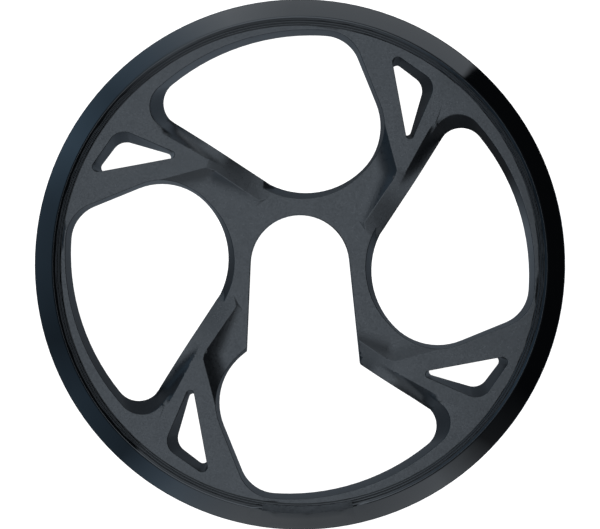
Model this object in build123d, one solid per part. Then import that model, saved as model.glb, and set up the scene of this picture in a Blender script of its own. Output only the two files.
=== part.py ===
"""Bicycle chain guard: a bevelled ring carried on a small hub by four swept spokes.

One injection moulding. It lies on its back face at Z = 0 with the front up, the crank axis is Z,
and the slot that the crank arm passes through opens towards -Y. All lengths are in millimetres.
"""
import math
import os

from build123d import *

# Overall
OUTER_DIAMETER = 208.0      # stands about 3 mm outside the chain on a 48-tooth ring
WALL = 2.2                  # moulded wall, everywhere
PLATEAU_HEIGHT = 9.0        # front face of the spokes and the inner rim
HUB_HEIGHT = 5.0            # front face of the hub

# Rim
EDGE_HEIGHT = 4.0           # upright edge at the outer diameter
BEVEL_WIDTH = 8.0           # polished bevel, seen from the front
CREST_RISE = 0.35           # crest above the spokes
CREST_WIDTH = 0.5
GROOVE_COUNT = 3
GROOVE_PITCH = 0.95
GROOVE_WIDTH = 0.75
GROOVE_DEPTH = 0.6

# Raised pad on the rim, in line with the crank arm
PAD_ANGLE = 21.2
PAD_RISE = 0.35             # above the crest
PAD_INNER_WIDTH = 2.6       # inside the crest's outer edge, over the grooves
PAD_OUTER_WIDTH = 5.8       # outside it, where the pad runs out on the bevel

# Windows, between the spokes. Each corner is (radius, angle) from the crank axis
SPOKE_COUNT = 4
WINDOW_TURN = -1.75         # from the crank slot to the nearest window, degrees
BACK_TIP = (86.2, 133.7)
BACK_HUB = (21.5, 78.7)
BACK_KNEE = (59.6, 51.9)
BACK_HEEL = (91.2, 77.6)
FRONT_TIP = (86.9, 136.7)
FRONT_HUB = (14.9, 77.1)
FRONT_KNEE = (59.6, 51.5)
FRONT_HEEL = (91.5, 77.3)
WINDOW_ARC_CENTRE = (4.4, 3.8)
TIP_RADIUS = 9.4
HUB_RADIUS = 32.3
KNEE_RADIUS = 24.4
HEEL_RADIUS = 14.7

# Triangular hole in each spoke
BACK_TRIANGLE = ((35.3, 81.2), (49.0, 70.7), (42.0, 46.2))
FRONT_TRIANGLE = ((35.0, 82.8), (52.8, 70.3), (42.0, 45.0))
TRIANGLE_RADII = (2.0, 6.0, 1.45)

# Scoop between hub and spoke
SCOOP_CORNER = (51.6, 42.6)
SCOOP_UPPER_HEADING = 105.0
SCOOP_LOWER_HEADING = 249.0
SCOOP_TIP_RADIUS = 9.0
SCOOP_HOLLOW = 13.0         # radius of the hollow from floor to spoke
SCOOP_UPPER_REACH = 24.0
SCOOP_LOWER_REACH = 38.0
SCOOP_FAR_CORNER = (34.0, 95.0)     # of its floor, across the hub
HUB_FLAT_RADIUS = 28.5
HUB_RISE_RADIUS = 38.0

# Straight crease along the long side of each spoke, from the rim to the hub
CREASE_START = (54.2, 59.5)
CREASE_END = (28.0, 12.7)
FACET_LENGTH = 36.0         # twisted facet between crease and window, level at the rim
FACET_SLOPE = 54.0          # at its inner end
FACET_WIDTH = 8.0
TAIL_START = 28.0           # along the crease, where the spoke starts down to the hub
TAIL_LENGTH = 31.0
TAIL_SLOPE = 14.0           # towards the window, halfway down
TAIL_INNER_WIDTH = 6.0      # on the scoop's side of the crease
TAIL_OUTER_WIDTH = 6.0      # on the window's side

# Flank along the window's wall, a gentle strip that climbs from its foot at the rim to the spoke's
# neck and runs down beside the tail. Each section is
# (distance along the crease, offset and height of its edge, offset and height of its crest)
FLANK = (
    (2.0, 6.6, 0.1, 6.4, 0.4),
    (31.0, 4.8, 7.2, 0.0, 8.7),
    (50.0, 3.6, 4.3, -1.3, 6.0),
    (57.0, 3.1, 0.2, -1.7, 4.4),
)
FLANK_ROOT = -2.5           # its back lies inside the wall

# Crank slot
SLOT_WIDTH = 38.8
SLOT_FLARE = 4.2            # each side opens by this much, degrees
SLOT_LENGTH = 60.0

# Screw bosses behind the spokes
BOSS_CIRCLE = 172.0
BOSS_TURN = 48.4
BOSS_DIAMETER = 8.0
SCREW_HOLE_DIAMETER = 3.4
SCREW_HOLE_DEPTH = 6.0

# Stiffening ribs across the back of the rim, one of them at each boss
RIBS_PER_SPOKE = 5
RIB_THICKNESS = 1.4
RIB_SETBACK = 0.8           # from the back face

OUTER_RADIUS = OUTER_DIAMETER / 2
CREST_OUTER_RADIUS = OUTER_RADIUS - BEVEL_WIDTH
CREST_HEIGHT = PLATEAU_HEIGHT + CREST_RISE
OVERRUN = 1.0               # cutters run past the faces they cut


def polar(radius, angle):
    """Point at a radius and an angle in degrees."""
    return Vector(radius * math.cos(math.radians(angle)), radius * math.sin(math.radians(angle)))


def between(back, front, height):
    """Point on the straight line from a back corner to its front corner, at a height."""
    share = height / PLATEAU_HEIGHT
    return back + (front - back) * share


def around(shape, turn=WINDOW_TURN):
    """One copy for each spoke."""
    return [Rot(0, 0, turn + 360 / SPOKE_COUNT * i) * shape for i in range(SPOKE_COUNT)]


def rounded(outline, corners, radii):
    """Round the corners of a flat outline, each with its own radius."""
    for corner, radius in zip(corners, radii):
        nearest = outline.vertices().sort_by_distance((corner.X, corner.Y, 0))[0]
        outline = fillet(nearest, radius)
    return outline


def turn_length(before, corner, after, radius):
    """Length of side that a rounded corner takes up on each side of the corner."""
    turn = (corner - before).get_angle(after - corner)
    return radius * math.tan(math.radians(turn / 2))


def window_outline(height, grow):
    """Window at a height, grown all round by a wall."""
    tip, hub, knee, heel = (
        between(polar(*back), polar(*front), height)
        for back, front in (
            (BACK_TIP, FRONT_TIP),
            (BACK_HUB, FRONT_HUB),
            (BACK_KNEE, FRONT_KNEE),
            (BACK_HEEL, FRONT_HEEL),
        )
    )
    centre = Vector(*WINDOW_ARC_CENTRE)
    middle = ((tip - centre).normalized() + (heel - centre).normalized()).normalized()
    crown = centre + middle * ((tip - centre).length + (heel - centre).length) / 2
    sides = [
        Line(tip, hub),
        Line(hub, knee),
        Line(knee, heel),
        ThreePointArc(heel, crown, tip),
    ]
    outline = make_face(Curve() + sides)
    # the two large corners share the hub side, so they may not take up more than its length
    taken = turn_length(tip, hub, knee, HUB_RADIUS) + turn_length(hub, knee, heel, KNEE_RADIUS)
    room = min(1, 0.99 * (knee - hub).length / taken)
    radii = (TIP_RADIUS, HUB_RADIUS * room, KNEE_RADIUS * room, HEEL_RADIUS)
    outline = rounded(outline, (tip, hub, knee, heel), radii)
    if grow:
        outline = offset(outline, grow)
    return Pos(0, 0, height) * outline


def triangle_outline(height, grow):
    """Triangular hole at a height, grown all round by a wall."""
    corners = [
        between(Vector(*back), Vector(*front), height)
        for back, front in zip(BACK_TRIANGLE, FRONT_TRIANGLE)
    ]
    outline = make_face(Polyline(*corners, close=True))
    outline = rounded(outline, corners, TRIANGLE_RADII)
    if grow:
        outline = offset(outline, grow)
    return Pos(0, 0, height) * outline


def opening(outline, grow=0.0):
    """Solid that cuts a window or a hole right through."""
    return loft([outline(-OVERRUN, grow), outline(PLATEAU_HEIGHT + OVERRUN, grow)], ruled=True)


def scoop(grow=0.0):
    """Hollow between the hub's flat and the raised spoke."""
    floor = HUB_HEIGHT - grow
    hollow = SCOOP_HOLLOW + grow
    depth = PLATEAU_HEIGHT - HUB_HEIGHT
    run = math.sqrt(SCOOP_HOLLOW**2 - (SCOOP_HOLLOW - depth) ** 2)
    corner = polar(*SCOOP_CORNER)
    upper = corner + polar(SCOOP_UPPER_REACH, SCOOP_UPPER_HEADING)
    lower = corner + polar(SCOOP_LOWER_REACH, SCOOP_LOWER_HEADING)
    far = polar(*SCOOP_FAR_CORNER)
    outline = make_face(Polyline(upper, far, lower, corner, close=True))
    outline = rounded(outline, [corner], [SCOOP_TIP_RADIUS])
    outline = offset(outline, SCOOP_HOLLOW - run + grow, kind=Kind.INTERSECTION)
    solid = Pos(0, 0, floor) * extrude(outline, 2 * hollow)
    middle = (far.X + corner.X) / 2
    spoke_side = [edge for edge in solid.edges().group_by(Axis.Z)[0] if edge.center().X > middle]
    return fillet(spoke_side, hollow)


def crease_point(distance, offset):
    """Point at a distance along the crease and an offset from it towards the window."""
    start = Vector(*CREASE_START)
    along = (Vector(*CREASE_END) - start).normalized()
    across = Vector(-along.Y, along.X)
    return start + along * distance + across * offset


def crease_cutter(stations):
    """Cutter that lies over the crease, lofted through its sections.

    Each station is (distance along the crease, inner width, outer width, height, slope): the cut runs
    across the crease at a slope down to the window, and passes the crease's inner side at the height.
    """
    top = Vector(0, 0, CREST_HEIGHT + OVERRUN)
    sections = []
    for distance, inner_width, outer_width, height, slope in stations:
        inner = crease_point(distance, -inner_width)
        outer = crease_point(distance, outer_width)
        drop = (inner_width + outer_width) * math.tan(math.radians(slope))
        corners = [
            inner + Vector(0, 0, height),
            outer + Vector(0, 0, height - drop),
            outer + top,
            inner + top,
        ]
        sections.append(make_face(Polyline(*corners, close=True)))
    return loft(sections, ruled=len(sections) == 2)


def spoke_facet():
    """Facet that twists from level at the rim to steep at the inner end of the spoke."""
    return crease_cutter([
        (0, 0, FACET_WIDTH, PLATEAU_HEIGHT, 0),
        (FACET_LENGTH, 0, FACET_WIDTH, PLATEAU_HEIGHT, FACET_SLOPE),
    ])


def spoke_tail():
    """Top of the spoke's tail, which leans towards the window on its way down to the hub."""
    widths = (TAIL_INNER_WIDTH, TAIL_OUTER_WIDTH)
    middle = (PLATEAU_HEIGHT + HUB_HEIGHT) / 2
    return crease_cutter([
        (TAIL_START, *widths, PLATEAU_HEIGHT, 0),
        (TAIL_START + TAIL_LENGTH / 2, *widths, middle, TAIL_SLOPE),
        (TAIL_START + TAIL_LENGTH, *widths, HUB_HEIGHT, 0),
    ])


def spoke_flank():
    """Strip along the wall, lofted from the rim over the spoke's neck to the hub."""
    sections = []
    for distance, edge, edge_height, crest, crest_height in FLANK:
        root = crease_point(distance, FLANK_ROOT)
        foot = crease_point(distance, edge)
        corners = [
            root,
            foot,
            foot + Vector(0, 0, edge_height),
            crease_point(distance, crest) + Vector(0, 0, crest_height),
            root + Vector(0, 0, crest_height),
        ]
        sections.append(make_face(Polyline(*corners, close=True)))
    return loft(sections, ruled=True)


def crank_slot(grow=0.0):
    """Round-ended slot that opens towards -Y."""
    radius = SLOT_WIDTH / 2 + grow
    flare = math.radians(SLOT_FLARE)
    touch = Vector(radius * math.cos(flare), radius * math.sin(flare))
    spread = touch.X + (SLOT_LENGTH + touch.Y) * math.tan(flare)
    sides = [
        ThreePointArc((-touch.X, touch.Y), (0, radius), (touch.X, touch.Y)),
        Line((touch.X, touch.Y), (spread, -SLOT_LENGTH)),
        Line((spread, -SLOT_LENGTH), (-spread, -SLOT_LENGTH)),
        Line((-spread, -SLOT_LENGTH), (-touch.X, touch.Y)),
    ]
    outline = make_face(Curve() + sides)
    return Pos(0, 0, -OVERRUN) * extrude(outline, PLATEAU_HEIGHT + 2 * OVERRUN)


def turned(points, angle=360.0):
    """Body of revolution about the crank axis from the corners of a half profile."""
    return revolve(make_face(Plane.XZ * Polyline(*points, close=True)), Axis.Z, angle)


def outer_disc():
    """Full disc with the finished front: hub flat, rise, plateau, grooves, crest and bevel."""
    crest_inner = CREST_OUTER_RADIUS - CREST_WIDTH
    points = [
        (0, HUB_HEIGHT),
        (HUB_FLAT_RADIUS, HUB_HEIGHT),
        (HUB_RISE_RADIUS, PLATEAU_HEIGHT),
    ]
    first = crest_inner - CREST_RISE - GROOVE_COUNT * GROOVE_PITCH
    for i in range(GROOVE_COUNT):
        start = first + i * GROOVE_PITCH
        points += [
            (start, PLATEAU_HEIGHT),
            (start + GROOVE_WIDTH / 2, PLATEAU_HEIGHT - GROOVE_DEPTH),
            (start + GROOVE_WIDTH, PLATEAU_HEIGHT),
        ]
    points += [
        (crest_inner - CREST_RISE, PLATEAU_HEIGHT),
        (crest_inner, CREST_HEIGHT),
        (CREST_OUTER_RADIUS, CREST_HEIGHT),
        (OUTER_RADIUS, EDGE_HEIGHT),
        (OUTER_RADIUS, 0),
        (0, 0),
    ]
    return turned(points)


def inner_disc():
    """What the mould's core fills behind the front, before the walls are left standing in it."""
    slope = (CREST_HEIGHT - EDGE_HEIGHT) / BEVEL_WIDTH
    roof = PLATEAU_HEIGHT - WALL
    edge_inner = OUTER_RADIUS - WALL
    # the bevel's inner face lies one wall behind its outer face, and ends at the upright edge's
    bevel_inner = CREST_HEIGHT - WALL * math.sqrt(1 + slope**2)
    roof_radius = CREST_OUTER_RADIUS + (bevel_inner - roof) / slope
    edge_roof = bevel_inner - slope * (edge_inner - CREST_OUTER_RADIUS)
    points = [
        (HUB_RISE_RADIUS, roof),
        (roof_radius, roof),
        (edge_inner, edge_roof),
        (edge_inner, -OVERRUN),
        (0, -OVERRUN),
        (0, HUB_HEIGHT - WALL),
        (HUB_FLAT_RADIUS, HUB_HEIGHT - WALL),
    ]
    return turned(points)


def cut_openings(disc, grow=0.0):
    """Scoops, windows, triangles and crank slot taken out of a disc."""
    cutters = around(scoop(grow))
    cutters += around(opening(window_outline, grow))
    cutters += around(opening(triangle_outline, grow))
    cutters.append(crank_slot(grow))
    return disc - cutters


def screw_bosses():
    """Screw bosses on the back of the spokes, and the blind holes in them."""
    height = PLATEAU_HEIGHT - WALL
    boss = Pos(0, 0, height / 2) * Cylinder(BOSS_DIAMETER / 2, height)
    hole = Pos(0, 0, SCREW_HOLE_DEPTH / 2) * Cylinder(SCREW_HOLE_DIAMETER / 2, SCREW_HOLE_DEPTH)
    place = polar(BOSS_CIRCLE / 2, BOSS_TURN)
    return [around(Pos(place.X, place.Y, 0) * shape) for shape in (boss, hole)]


def rim_ribs():
    """Ribs across the channel behind the rim."""
    inner = BOSS_CIRCLE / 2
    length = OUTER_RADIUS - inner
    height = PLATEAU_HEIGHT - RIB_SETBACK
    rib = Pos(inner + length / 2, 0, RIB_SETBACK + height / 2) * Box(length, RIB_THICKNESS, height)
    ribs = []
    for i in range(RIBS_PER_SPOKE):
        turn = BOSS_TURN + WINDOW_TURN + 360 / SPOKE_COUNT / RIBS_PER_SPOKE * i
        ribs += around(rib, turn)
    return ribs


def rim_pad():
    """Wedge-shaped pad over the crest, below the end of the crank slot."""
    slope = (CREST_HEIGHT - EDGE_HEIGHT) / BEVEL_WIDTH
    top = CREST_HEIGHT + PAD_RISE
    points = [
        (CREST_OUTER_RADIUS - PAD_INNER_WIDTH, PLATEAU_HEIGHT - WALL / 2),
        (CREST_OUTER_RADIUS - PAD_INNER_WIDTH, top),
        (CREST_OUTER_RADIUS, top),
        (CREST_OUTER_RADIUS + PAD_OUTER_WIDTH, CREST_HEIGHT - slope * PAD_OUTER_WIDTH),
        (CREST_OUTER_RADIUS - WALL / 2, PLATEAU_HEIGHT - WALL / 2),
    ]
    return Rot(0, 0, -90 - PAD_ANGLE / 2) * turned(points, PAD_ANGLE)


def chain_guard():
    """The whole moulding."""
    bosses, holes = screw_bosses()
    flanks = [flank - crank_slot() for flank in around(spoke_flank())]
    front = cut_openings(outer_disc()) - around(spoke_facet())
    front = front + flanks - around(spoke_tail())
    core = cut_openings(inner_disc(), WALL) - (bosses + rim_ribs())
    return front + rim_pad() - core - holes


os.makedirs("parts", exist_ok=True)
guard = chain_guard()
print("solids", len(guard.solids()), "faces", len(guard.faces()), "volume", guard.volume)
export_step(guard, "parts/chain_guard.step")
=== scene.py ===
# %% [markdown]
# # A moulded chain guard, dressed for its picture
# The part is one black injection moulding: a polished, bevelled ring on a small hub, with four swept
# spokes. Its exact shape comes packed from CAD. Here it gets what a drawing lacks: rounded edges, a
# moulded surface, and the soft light of a product photograph.

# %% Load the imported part
import math

import bmesh
import bpy
from mathutils import Matrix, Vector


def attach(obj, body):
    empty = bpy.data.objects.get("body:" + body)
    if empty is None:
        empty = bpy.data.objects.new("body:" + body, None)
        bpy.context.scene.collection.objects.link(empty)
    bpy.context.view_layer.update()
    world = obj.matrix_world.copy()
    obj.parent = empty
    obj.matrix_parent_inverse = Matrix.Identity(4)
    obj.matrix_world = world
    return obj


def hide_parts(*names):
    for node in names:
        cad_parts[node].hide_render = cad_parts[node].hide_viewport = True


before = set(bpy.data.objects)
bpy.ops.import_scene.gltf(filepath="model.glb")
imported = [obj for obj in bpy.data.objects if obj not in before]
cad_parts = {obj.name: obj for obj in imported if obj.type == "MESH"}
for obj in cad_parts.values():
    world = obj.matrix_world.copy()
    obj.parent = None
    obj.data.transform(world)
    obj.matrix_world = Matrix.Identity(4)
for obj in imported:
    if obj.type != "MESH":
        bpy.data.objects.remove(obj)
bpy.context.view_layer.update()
MM = 0.001

# %% [markdown]
# ## The moulding
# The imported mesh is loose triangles, each with corners of its own. It could be dressed as it is, but
# edges can only be rounded where two faces share them. So a copy is merged into one closed skin first,
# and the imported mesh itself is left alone.

# %% Copy the CAD mesh and join it into one skin
MERGE_WITHIN = 0.001 * MM


def select_only(thing):
    bpy.ops.object.select_all(action="DESELECT")
    thing.select_set(True)
    bpy.context.view_layer.objects.active = thing


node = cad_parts["chain_guard"]
guard = bpy.data.objects.new("guard_moulding", node.data.copy())
bpy.context.scene.collection.objects.link(guard)
select_only(guard)
bpy.ops.object.mode_set(mode="EDIT")
bpy.ops.mesh.select_mode(type="FACE")
bpy.ops.mesh.select_all(action="SELECT")
bpy.ops.mesh.remove_doubles(threshold=MERGE_WITHIN)
bpy.ops.object.mode_set(mode="OBJECT")
print("one skin:", len(guard.data.vertices), "points,", len(guard.data.polygons), "faces")

# %% [markdown]
# ## The spokes' flanks
# Between the straight crease of a spoke and its window, the real moulding is one hollow: steep and
# black along the crease, flattening out towards the window's edge, and running on into the tail
# without a break. CAD holds it as a few straight strips. It could be sculpted with a brush; cutting the
# strips into a fine net and setting the height of every point of the net by one rule makes the same
# hollow on all four spokes. The window's wall below is cut at the same stations, so that it follows.

# %% Measure along a spoke
SPOKE_COUNT = 4
SPOKE_TURN = math.radians(-1.75)    # the guard lies turned by this in the picture
CREASE_START = Vector((54.2, 59.5))
CREASE_ALONG = (Vector((28.0, 12.7)) - CREASE_START).normalized()
CREASE_ACROSS = Vector((-CREASE_ALONG.y, CREASE_ALONG.x))
EDGE_OFFSET = (6.72, 0.0633)        # the window's edge nears the crease along the spoke


def edge_offset(distance):
    return EDGE_OFFSET[0] - EDGE_OFFSET[1] * distance


def crease_place(point, turn):
    """Distance along a spoke's crease and offset from it towards the window, in millimetres."""
    flat = (Matrix.Rotation(-turn, 2) @ point.xy) / MM - CREASE_START
    return flat.dot(CREASE_ALONG), flat.dot(CREASE_ACROSS)


turns = [SPOKE_TURN + math.tau / SPOKE_COUNT * i for i in range(SPOKE_COUNT)]
print("spokes at", [round(math.degrees(turn), 2) for turn in turns], "degrees")

# %% Say where the net lies
NET_START = 5.5
NET_END = 46.0
TOP_START = 20.0                    # on the spoke's top the net starts here
TOP_WIDTH = 6.0
EDGE_SLACK = 0.3


def on_flank(point, turn):
    distance, offset = crease_place(point, turn)
    return NET_START < distance < NET_END and 0 < offset < edge_offset(distance) + EDGE_SLACK


def on_top(point, turn):
    distance, offset = crease_place(point, turn)
    return TOP_START < distance < NET_END and -TOP_WIDTH < offset < 0


def reaches(face, turn):
    """Whether the box round a face, taken along and across the crease, reaches into the net."""
    distances, offsets = zip(*(crease_place(corner.co, turn) for corner in face.verts))
    return (
        max(distances) > NET_START and min(distances) < NET_END
        and max(offsets) > -TOP_WIDTH and min(offsets) < EDGE_OFFSET[0]
    )


print("flank", round(edge_offset(NET_START), 1), "to", round(edge_offset(NET_END), 1), "mm wide")

# %% Give the height of a spoke's top
PLATEAU = 9.0
TAIL_START = 28.0                   # where the spoke starts down to the hub
TAIL_LENGTH = 31.0
TAIL_FALL = 4.0
TAIL_EASE = 7.0                     # its start is eased over this length, each way


def spoke_top(distance, offset):
    """Height of the plateau and of the leaning tail that it runs down into."""
    run = max(0.0, distance - TAIL_START)
    if abs(distance - TAIL_START) < TAIL_EASE:
        run = (distance - TAIL_START + TAIL_EASE) ** 2 / (4 * TAIL_EASE)
    down = run / TAIL_LENGTH
    return PLATEAU - TAIL_FALL * down - (down - down ** 2) * (offset + TOP_WIDTH)


print("top from", spoke_top(TOP_START, 0), "to", round(spoke_top(NET_END, 0), 2), "mm high")

# %% Cut faces along a line
CUT_WITHIN = 0.002 * MM

net = bmesh.new()
net.from_mesh(guard.data)


def slice_faces(faces, turn, direction, station):
    """Cut faces along one line of the net and return all their parts."""
    spin = Matrix.Rotation(turn, 2)
    borders = {edge for face in faces for edge in face.edges}
    corners = {corner for face in faces for corner in face.verts}
    parts = bmesh.ops.bisect_plane(
        net,
        geom=faces + list(borders) + list(corners),
        dist=CUT_WITHIN,
        plane_co=(spin @ (CREASE_START + direction * station) * MM).to_3d(),
        plane_no=(spin @ direction).to_3d(),
    )["geom"]
    return [part for part in parts if isinstance(part, bmesh.types.BMFace)]


def stations(low, high, step):
    count = math.ceil((high - low) / step)
    return [low + (high - low) * i / count for i in range(1, count)]


print("faces before the cuts:", len(net.faces))

# %% Find the wall below a flank
WALL_FACING = 0.3                   # the window's wall stands this upright
WALL_NEAR = 2.0                     # and this far from the crease at least
WALL_BEND = math.radians(3)


def stands_below(face, turn):
    """Whether a face is part of the straight wall between a flank and the back."""
    distance, offset = crease_place(face.calc_center_median(), turn)
    return abs(face.normal.z) < WALL_FACING and NET_START < distance < NET_END and offset > WALL_NEAR


def wall_below(flank, turn):
    """The upright faces that hang on a flank's edge, and their neighbours in the same plane."""
    found = set()
    waiting = [near for face in flank for edge in face.edges for near in edge.link_faces]
    waiting = [face for face in waiting if stands_below(face, turn)]
    while waiting:
        face = waiting.pop()
        found.add(face)
        waiting += [
            near for edge in face.edges for near in edge.link_faces
            if near not in found and stands_below(near, turn)
            and near.normal.angle(face.normal) < WALL_BEND
        ]
    return list(found)


print("upright faces:", sum(abs(face.normal.z) < WALL_FACING for face in net.faces))

# %% Cut a fine net into each spoke
NET_STEP = (1.35, 0.45)             # along and across
NET_FACING = 0.15                   # only faces that look up are cut
TOP_FACING = 0.9                    # steeper faces, or faces this far below, belong to the scoop
TOP_SLACK = 0.3
FIRST_CUTS = [
    (CREASE_ACROSS, 0),
    (CREASE_ALONG, NET_START),
    (CREASE_ALONG, TOP_START),
    (CREASE_ALONG, NET_END),
]


def one_face(faces):
    """Join faces that touch and return what they became."""
    return bmesh.ops.dissolve_faces(net, faces=faces, use_verts=False)["region"]


tops = []
flanks = []
for turn in turns:
    faces = [face for face in net.faces if face.normal.z > NET_FACING and reaches(face, turn)]
    for direction, station in FIRST_CUTS:
        faces = slice_faces(faces, turn, direction, station)
    upright = [face for face in net.faces if abs(face.normal.z) < WALL_FACING and reaches(face, turn)]
    for station in (NET_START, NET_END):
        upright = slice_faces(upright, turn, CREASE_ALONG, station)
    middles = {face: face.calc_center_median() for face in faces}
    top = [
        face for face, middle in middles.items()
        if face.normal.z > TOP_FACING and on_top(middle, turn)
        and middle.z > (spoke_top(*crease_place(middle, turn)) - TOP_SLACK) * MM
    ]
    flank = [face for face, middle in middles.items() if on_flank(middle, turn)]
    top = one_face(top)
    flank = [max(one_face(flank), key=lambda face: face.calc_area())]
    wall = one_face(wall_below(flank, turn))
    for station in stations(TOP_START, NET_END, NET_STEP[0]):
        top = slice_faces(top, turn, CREASE_ALONG, station)
    for station in stations(NET_START, NET_END, NET_STEP[0]):
        flank = slice_faces(flank, turn, CREASE_ALONG, station)
        wall = slice_faces(wall, turn, CREASE_ALONG, station)
    for station in stations(0, EDGE_OFFSET[0], NET_STEP[1]):
        flank = slice_faces(flank, turn, CREASE_ACROSS, station)
    print("top in", len(top), "flank in", len(flank), "and wall in", len(wall), "pieces")
    flanks.append({corner for face in flank for corner in face.verts})
    tops.append({
        corner for face in top for corner in face.verts
        if all(near.normal.z > TOP_FACING for near in corner.link_faces)
    })
print("net:", len(net.faces), "faces")

# %% Give the height of the hollow
WALL_TOP = (2.38, 0.085)            # the window's wall starts this far from the crease
WALL_FOOT = (-0.4, 0.245)           # and ends at this height
NECK = 34.0                         # where the hollow has run out
TIP_DROP = 8.9
DROP_CURVE = 1.35
HOLLOW = 2.6                        # how strongly the section is hollowed
HOLLOW_START = (5.5, 13.0)          # where it takes over from the wall of the window's tip


def smooth_step(value, low, high):
    share = max(0.0, min(1.0, (value - low) / (high - low)))
    return share * share * (3 - 2 * share)


def wall_height(distance, offset):
    """Height of the straight wall at the window's tip."""
    inner = WALL_TOP[0] - WALL_TOP[1] * distance
    share = min(1.0, (edge_offset(distance) - offset) / (edge_offset(distance) - inner))
    return max(PLATEAU * share, WALL_FOOT[0] + WALL_FOOT[1] * distance)


def flank_height(distance, offset):
    """Height of the hollow between the crease and the window's edge."""
    share = min(1.0, offset / edge_offset(distance))
    drop = TIP_DROP * max(0.0, 1 - distance / NECK) ** DROP_CURVE
    hollow = spoke_top(distance, offset) - drop * (1 - (1 - share) ** HOLLOW)
    start = smooth_step(distance, *HOLLOW_START)
    return hollow * start + wall_height(distance, offset) * (1 - start)


middle_way = sum(HOLLOW_START) / 2
print("hollow at its start:", round(flank_height(middle_way, edge_offset(middle_way)), 2), "mm high")

# %% Set the heights of the net
TAIL_END = (40.0, 46.0)             # where the CAD shape takes over again

for turn, top, flank in zip(turns, tops, flanks):
    for point in top | flank:
        distance, offset = crease_place(point.co, turn)
        height = flank_height(distance, max(0.0, offset)) if point in flank else spoke_top(distance, offset)
        fade = 1 - smooth_step(distance, *TAIL_END)
        point.co.z += fade * (height * MM - point.co.z)
net.to_mesh(guard.data)
net.free()
print("points set:", sum(len(points) for points in tops + flanks))

# %% [markdown]
# ## The edges
# A real moulding has no knife edges: the tool steel leaves a small radius on each one, and that radius
# is what catches the light. The rounding could be drawn in CAD, where hundreds of small fillets are
# slow and brittle. A Bevel modifier rounds them all at once, so the flat faces are joined up first, and
# each edge to be rounded is given a weight. The fine rings, the pad and the net stay crisp.

# %% Join the flat faces
GROOVES_START = 91.8 * MM           # fine rings from here out to the crest
GROOVES_LEVEL = 8.0 * MM
FLAT = math.radians(0.4)

select_only(guard)
bpy.ops.object.mode_set(mode="EDIT")
bpy.ops.mesh.select_all(action="DESELECT")
bpy.ops.object.mode_set(mode="OBJECT")
for face in guard.data.polygons:
    rings = face.center.xy.length > GROOVES_START and face.center.z > GROOVES_LEVEL
    face.select = not rings and not any(
        on_flank(face.center, turn) or on_top(face.center, turn) for turn in turns
    )
bpy.ops.object.mode_set(mode="EDIT")
bpy.ops.mesh.dissolve_limited(angle_limit=FLAT)
bpy.ops.object.mode_set(mode="OBJECT")
print("joined:", len(guard.data.polygons), "faces")

# %% Weigh the edges that the mould rounds
CREST_EDGE = 95.8 * MM              # the crest has its soft edge outside this
BEVEL_START = 96.3 * MM
PAD_REACH = 20 * MM                 # half the length of the pad at the bottom of the rim
PAD_FOOT = 5 * MM
RIM_EDGE = 103.5 * MM
FULL_ROUND = 0.6 * MM               # on the outer edge of the rim
CREST_ROUND = 0.4 * MM              # on the crest's outer edge
SMALL_ROUND = 0.25 * MM             # everywhere else
SHARP = math.radians(22)


def face_sides(mesh):
    """Normals of the two faces at each edge, by the edge's pair of points."""
    sides = {}
    for face in mesh.polygons:
        for key in face.edge_keys:
            sides.setdefault(key, []).append(face.normal)
    return {key: pair for key, pair in sides.items() if len(pair) == 2}


def round_size(middle):
    """Radius that the mould leaves on an edge with its middle here."""
    radius = middle.xy.length
    if GROOVES_START < radius < RIM_EDGE and middle.z > PAD_FOOT:
        if middle.y < 0 and abs(middle.x) < PAD_REACH:
            return 0
    if GROOVES_START < radius < BEVEL_START and middle.z > GROOVES_LEVEL:
        return CREST_ROUND if radius > CREST_EDGE else 0
    return FULL_ROUND if radius > RIM_EDGE else SMALL_ROUND


mesh = guard.data
sides = face_sides(mesh)
weights = mesh.attributes.new("bevel_weight_edge", "FLOAT", "EDGE")
rounded = 0
for edge in mesh.edges:
    if edge.key not in sides or sides[edge.key][0].angle(sides[edge.key][1], 0) < SHARP:
        continue
    middle = (mesh.vertices[edge.vertices[0]].co + mesh.vertices[edge.vertices[1]].co) / 2
    if max(side.z for side in sides[edge.key]) > NET_FACING:
        if any(on_flank(middle, turn) for turn in turns):
            continue
    size = round_size(middle)
    weights.data[edge.index].value = size / FULL_ROUND
    rounded += size > 0
print("edges to round:", rounded, "of", len(mesh.edges))

# %% Round them and smooth the skin
ROUND_STEPS = 2
SMOOTH_UNDER = math.radians(38)

select_only(guard)
bevel = guard.modifiers.new("mould_radius", "BEVEL")
bevel.limit_method = "WEIGHT"
bevel.width = FULL_ROUND
bevel.segments = ROUND_STEPS
bevel.use_clamp_overlap = False
bpy.ops.object.modifier_apply(modifier=bevel.name)
for point in guard.data.vertices:
    point.co.z = max(point.co.z, 0)     # the back stays flat
bpy.ops.object.shade_smooth_by_angle(angle=SMOOTH_UNDER)
even = guard.modifiers.new("even_normals", "WEIGHTED_NORMAL")
even.keep_sharp = True
bpy.ops.object.modifier_apply(modifier=even.name)
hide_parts("chain_guard")
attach(guard, "root")
print("rounded moulding:", len(guard.data.polygons), "faces")

# %% [markdown]
# ## Shader maths
# Node trees drawn by hand get long. This small class wraps one socket, so that a mask can be written
# as plain arithmetic, and its one method adds any other node with its settings and its inputs.

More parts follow.
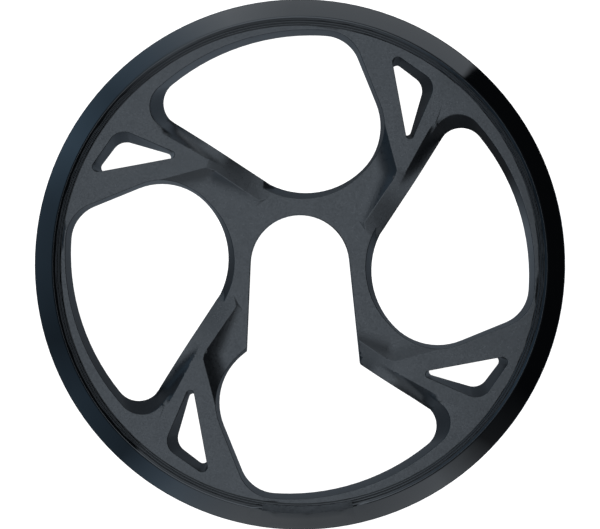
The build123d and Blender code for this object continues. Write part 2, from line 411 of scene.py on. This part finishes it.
# %% A socket that understands arithmetic
class Wire:
    """One output socket of a node tree."""

    def __init__(self, tree, socket=None):
        self.tree = tree
        self.socket = socket

    def node(self, kind, settings=None, inputs=None, output=0):
        """Add a node: its settings first, then the values or wires of its sockets."""
        made = self.tree.nodes.new(kind)
        for name, value in (settings or {}).items():
            if name == "stops":
                ramp = made.color_ramp.elements
                while len(ramp) < len(value):
                    ramp.new(1)
                for stop, (place, shade) in zip(ramp, value):
                    stop.position = place
                    stop.color = (shade, shade, shade, 1)
            else:
                setattr(made, name, value)
        for name, value in (inputs or {}).items():
            if isinstance(value, Wire):
                self.tree.links.new(value.socket, made.inputs[name])
            else:
                made.inputs[name].default_value = value
        return Wire(self.tree, made.outputs[output] if made.outputs else None)

    def math(self, operation, *values):
        return self.node("ShaderNodeMath", {"operation": operation}, dict(enumerate(values)))

    def __add__(self, other):
        return self.math("ADD", self, other)

    def __sub__(self, other):
        return self.math("SUBTRACT", self, other)

    def __mul__(self, other):
        return self.math("MULTIPLY", self, other)

    def __pow__(self, other):
        return self.math("POWER", self, other)

    def __rsub__(self, other):
        return self.math("SUBTRACT", other, self)

    __radd__ = __add__
    __rmul__ = __mul__

    def step(self, low, high):
        """0 below low, 1 above high, and a smooth ramp between them."""
        return self.node(
            "ShaderNodeMapRange",
            {"interpolation_type": "SMOOTHSTEP"},
            {"Value": self, "From Min": low, "From Max": high},
        )

    def within(self, low, high, soft=0.1 * MM):
        """1 between low and high, and 0 outside them."""
        return self.step(low, low + soft) * (1 - self.step(high - soft, high))

    def blend(self, first, second):
        """Mix two colours, from the first at 0 to the second at 1."""
        return self.node("ShaderNodeMix", {"data_type": "RGBA"}, {0: self, 6: first, 7: second}, output=2)

    def scale(self, colour):
        """A colour made brighter or darker by this value."""
        return self.node("ShaderNodeVectorMath", {"operation": "SCALE"}, {0: colour, "Scale": self})


def axes(vector):
    """The three parts of a vector, each as a wire."""
    split = vector.node("ShaderNodeSeparateXYZ", inputs={0: vector}).socket.node
    return [Wire(vector.tree, part) for part in split.outputs]


def new_tree(owner):
    """Empty the node tree of a material or the world and return it as a wire."""
    owner.use_nodes = True
    owner.node_tree.nodes.clear()
    return Wire(owner.node_tree)


print("shader maths ready")

# %% [markdown]
# ## Black plastic
# The whole part is one black plastic, but the tool gives it two finishes. The spokes and the hub were
# spark-eroded to a fine matte grain that scatters the lamp into a soft grey. The rim was polished, so
# it mirrors the room. Two materials could be given to two sets of faces; one material with a mask by
# radius follows the real border exactly, wherever the mesh has its edges. The sides of the fine rings
# catch almost no light, so a plain dull black is mixed in there.

# %% Mask the two finishes
POLISH_START = 92.2 * MM
POLISH_BORDER = 0.2 * MM
POLISH_FOOT = (3 * MM, 4 * MM)      # the rim's lower wall is not polished
PAD_TOP = (9.45 * MM, 9.60 * MM)    # the pad's flat top is grained again
FRONT_FACING = (0.45, 0.75)         # from a leaning wall to the flat front
RINGS = (92.0 * MM, 95.2 * MM)      # the fine rings, whose sides catch no light
RING_SIDES = (8.2 * MM, 8.9 * MM)
RING_DARK = 0.68

plastic = bpy.data.materials.new("black_plastic")
tree = new_tree(plastic)
place = tree.node("ShaderNodeTexCoord", output=3)
x, y, z = axes(place)
radius = (x * x + y * y) ** 0.5
pad_top = z.step(*PAD_TOP)
polished = radius.step(POLISH_START, POLISH_START + POLISH_BORDER) * z.step(*POLISH_FOOT) * (1 - pad_top)
facing = tree.node("ShaderNodeNewGeometry", output=1)
front = axes(facing)[2].step(*FRONT_FACING)
shaded = RING_DARK * radius.within(*RINGS) * z.within(*RING_SIDES)
print("masks:", len(plastic.node_tree.nodes), "nodes")

# %% Mix the two finishes
GRAIN_COLOUR = (0.0024, 0.0029, 0.0036, 1)
POLISH_COLOUR = (0.0010, 0.0013, 0.0017, 1)
GLOSS_TINT = (0.77, 0.88, 1.0, 1)
PLASTIC_IOR = 1.52
MOTTLE = {"Scale": 90.0, "Detail": 3.0}
GRAIN = {"Scale": 1700.0, "Detail": 2.0}
MATTE_ROUGHNESS = 0.38
MATTE_MOTTLE = 0.12
MATTE_GRAIN = 0.50
WALL_ROUGHNESS = 0.36
WALL_MOTTLE = 0.08
PAD_EXTRA = 0.25
POLISH_ROUGHNESS = 0.045
GRAIN_DEPTH = 0.05 * MM
GRAIN_STRENGTH = 0.35

mottle = tree.node("ShaderNodeTexNoise", inputs={"Vector": place, **MOTTLE})
grain = tree.node("ShaderNodeTexNoise", inputs={"Vector": place, **GRAIN})
matte = MATTE_ROUGHNESS + MATTE_MOTTLE * (mottle - 0.5) + MATTE_GRAIN * (grain - 0.5)
smoother = WALL_ROUGHNESS + WALL_MOTTLE * (mottle - 0.5)
grained = matte * front + smoother * (1 - front) + PAD_EXTRA * pad_top
relief = {"Strength": GRAIN_STRENGTH, "Distance": GRAIN_DEPTH, "Height": grain * front * (1 - polished)}
skin = tree.node(
    "ShaderNodeBsdfPrincipled",
    inputs={
        "Base Color": polished.blend(GRAIN_COLOUR, POLISH_COLOUR),
        "Roughness": grained * (1 - polished) + POLISH_ROUGHNESS * polished,
        "IOR": PLASTIC_IOR,
        "Specular Tint": GLOSS_TINT,
        "Normal": tree.node("ShaderNodeBump", inputs=relief),
    },
)
# painted shade: the sides of the fine rings get a plain black, darker than the lamp alone would leave them
painted_ring_shade = tree.node("ShaderNodeBsdfDiffuse", inputs={"Color": POLISH_COLOUR})
surface = tree.node("ShaderNodeMixShader", inputs={0: shaded, 1: skin, 2: painted_ring_shade})
tree.node("ShaderNodeOutputMaterial", inputs={"Surface": surface})
guard.data.materials.clear()
guard.data.materials.append(plastic)
print("black plastic:", len(plastic.node_tree.nodes), "nodes")

# %% [markdown]
# ## Floor
# The guard lies on its back on a plain table, and the picture shows that table as clean white. A white
# table lit from above would also glow in every wall of the windows, where the real part mirrors a dim
# one. So one material answers by the kind of ray: white with a faint shadow to the camera, and to
# reflections a grey that changes with the direction and is darkest to the upper right.

# %% Lay the floor
FLOOR_SIZE = 12.0
bpy.ops.object.select_all(action="DESELECT")
bpy.ops.mesh.primitive_plane_add(size=FLOOR_SIZE)
floor = bpy.context.object
floor.name = "floor"
print("floor of", FLOOR_SIZE, "m laid")

# %% Give it a white that only the camera sees, and a painted glow for reflections
WHITE = (1, 1, 1, 1)
PAPER_GLOW = 0.88           # the rest of the white is lamp light, so a shadow still shows
PAPER_GREY = (0.5, 0.5, 0.5, 1)
TABLE_GREY = (0.05, 0.05, 0.05, 1)
TABLE_TINT = (0.80, 0.95, 1.12, 1)
PAINTED_TABLE_LIGHT = [                   # painted light and shade of a dim table, seen in reflections: brightness by compass direction, from left over bottom, right and top
    (0.00, 0.20),
    (0.08, 0.12),
    (0.25, 0.26),
    (0.34, 0.24),
    (0.46, 0.22),
    (0.52, 0.42),
    (0.56, 0.02),
    (0.63, 0.04),
    (0.70, 0.27),
    (0.84, 0.44),
    (1.00, 0.20),
]


def compass(tree, where):
    """Compass direction of a vector about the crank axis, from 0 to 1 round from the left."""
    return tree.node("ShaderNodeTexGradient", {"gradient_type": "RADIAL"}, {"Vector": where}, output=1)


paper = bpy.data.materials.new("white_paper")
tree = new_tree(paper)
rays = tree.node("ShaderNodeLightPath").socket.node.outputs
camera_ray, glossy_ray, through_ray = (
    Wire(tree.tree, rays[name]) for name in ("Is Camera Ray", "Is Glossy Ray", "Is Transmission Ray")
)
where = tree.node("ShaderNodeTexCoord", output=3)
# painted light and shade: to reflections the floor glows in a grey that changes with the compass direction
# and is darkest to the upper right
painted_table_light = tree.node("ShaderNodeValToRGB", {"stops": PAINTED_TABLE_LIGHT}, {"Fac": compass(tree, where)})
shown = camera_ray * PAPER_GLOW + (glossy_ray + through_ray) * painted_table_light
lit = tree.node("ShaderNodeBsdfDiffuse", inputs={"Color": camera_ray.blend(TABLE_GREY, PAPER_GREY)})
glow = tree.node("ShaderNodeEmission", inputs={"Color": shown.scale(camera_ray.blend(TABLE_TINT, WHITE))})
both = tree.node("ShaderNodeAddShader", inputs={0: lit, 1: glow})
tree.node("ShaderNodeOutputMaterial", inputs={"Surface": both})
floor.data.materials.append(paper)
print("white paper:", len(paper.node_tree.nodes), "nodes")

# %% [markdown]
# ## Light
# The bevel of the rim is a mirror that looks out sideways, so the picture shows the room in it: bright
# at the top and below, dimmer to the left, black to the right. Walls and windows could be built round
# the part; painting that room into the world, by compass direction near the horizon, is lighter. One
# large soft lamp overhead gives the spokes their even grey.

# %% Paint the room
ROOM = [                    # brightness by compass direction, as for the painted table light
    (0.000, 0.38),
    (0.042, 0.22),
    (0.083, 0.40),
    (0.125, 0.28),
    (0.165, 1.08),
    (0.208, 1.22),
    (0.250, 1.00),
    (0.290, 1.03),
    (0.335, 1.33),
    (0.375, 0.13),
    (0.415, 0.012),
    (0.630, 0.012),
    (0.632, 1.42),
    (0.750, 1.42),
    (0.790, 1.88),
    (0.835, 1.06),
    (0.880, 0.60),
    (0.917, 0.86),
    (0.958, 0.46),
    (1.000, 0.38),
]
ROOM_TOP = (0.45, 0.75)     # sine of the height above the horizon, where the walls fade out
CEILING = 0.08
DAYLIGHT = (0.68, 0.98, 1.25, 1)    # the left of the room is lit by a window
DAYLIGHT_REACH = (-0.8, -0.2)

world = bpy.data.worlds.new("room")
bpy.context.scene.world = world
tree = new_tree(world)
way = tree.node("ShaderNodeTexCoord", output=0)
walls = tree.node("ShaderNodeValToRGB", {"stops": ROOM}, {"Fac": compass(tree, way)})
right, _, height = axes(way)
above = height.step(*ROOM_TOP)
shade = walls * (1 - above) + CEILING * above
camera_ray = tree.node("ShaderNodeLightPath")
seen = shade * (1 - camera_ray) + camera_ray
tint = ((1 - right.step(*DAYLIGHT_REACH)) * (1 - camera_ray)).blend(WHITE, DAYLIGHT)
sky = tree.node("ShaderNodeBackground", inputs={"Color": seen.scale(tint)})
tree.node("ShaderNodeOutputWorld", inputs={"Surface": sky})
print("room painted with", len(ROOM), "stops")

# %% Hang the soft lamp
LAMP_SIZE = (1.2, 2.8)      # long from the bottom to the top of the picture
LAMP_PLACE = (-0.12, 0.02, 1.20)
LAMP_RADIANCE = 2.15

lamp = bpy.data.lights.new("soft_lamp", "AREA")
lamp.shape = "ELLIPSE"
lamp.size, lamp.size_y = LAMP_SIZE
lamp.energy = LAMP_RADIANCE * math.pi * math.pi * LAMP_SIZE[0] * LAMP_SIZE[1] / 4
hung = bpy.data.objects.new("soft_lamp", lamp)
hung.location = LAMP_PLACE
hung.visible_camera = False
bpy.context.scene.collection.objects.link(hung)
print("lamp of", round(lamp.energy, 1), "W")

# %% [markdown]
# ## Camera
# The photograph looks straight down on the guard from about two diameters away. The view could be
# framed by eye; working the lens out from the height and the width of the view is exact.

# %% Set up the camera
CAMERA_HEIGHT = 0.420
VIEW_WIDTH = 236.3 * MM     # width of the picture at the level of the rim's outer edge
VIEW_LEVEL = 1.5 * MM
SENSOR_WIDTH = 36

camera = bpy.data.cameras.new("camera")
camera.sensor_width = SENSOR_WIDTH
camera.lens = SENSOR_WIDTH * (CAMERA_HEIGHT - VIEW_LEVEL) / VIEW_WIDTH
eye = bpy.data.objects.new("camera", camera)
eye.location = (0, 0, CAMERA_HEIGHT)
eye.rotation_euler = (0, 0, SPOKE_TURN)
bpy.context.scene.collection.objects.link(eye)
bpy.context.scene.camera = eye
bpy.context.scene.view_settings.view_transform = "Standard"
print("lens", round(camera.lens, 1), "mm")
